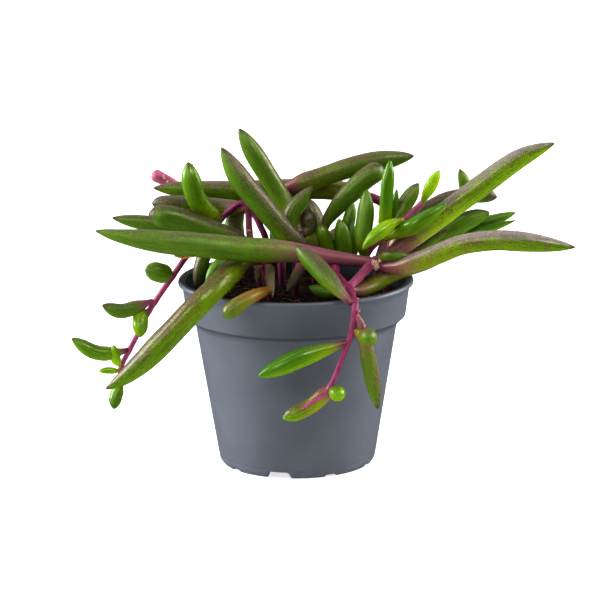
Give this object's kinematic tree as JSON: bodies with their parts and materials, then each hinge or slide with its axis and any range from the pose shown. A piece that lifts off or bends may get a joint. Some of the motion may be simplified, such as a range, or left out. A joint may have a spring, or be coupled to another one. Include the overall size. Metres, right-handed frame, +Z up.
{
  "type": "potted trailing succulent",
  "caption": "Small trailing succulent with long spindle-shaped fleshy leaves on pink stems, in a round grey plastic nursery pot filled with peat.",
  "frame": {"origin": "on the pot's axis, at the flat underside of the pot's floor; the pot's foot ring reaches 1.8 mm below it", "axes": "+Z up along the pot's axis, -Y towards the viewer of the picture, +X to the viewer's right, along the plant's longest extent"},
  "size_m": [0.1268, 0.0808, 0.0859],
  "materials": {
    "pot_plastic": "satin",
    "peat": "matte",
    "leaf_green": "satin",
    "leaf_olive": "satin",
    "leaf_mauve": "satin",
    "leaf_young": "satin",
    "stem_pink": "satin"
  },
  "bodies": {
    "root": {"pot": "pot_plastic", "soil": "peat", "left_trailing_stem": "leaf_green", "front_trailing_stem": "leaf_olive", "right_young_shoot": "leaf_young", "centre_stem": "leaf_olive", "upright_leaf_stem": "leaf_green", "back_centre_stem": "leaf_mauve", "long_leaf_stem": "leaf_green", "right_trailing_shoot": "leaf_green", "low_left_stem": "leaf_olive", "cut_stem": "stem_pink", "rear_trailing_stem": "leaf_green"}
  },
  "joints": []
}
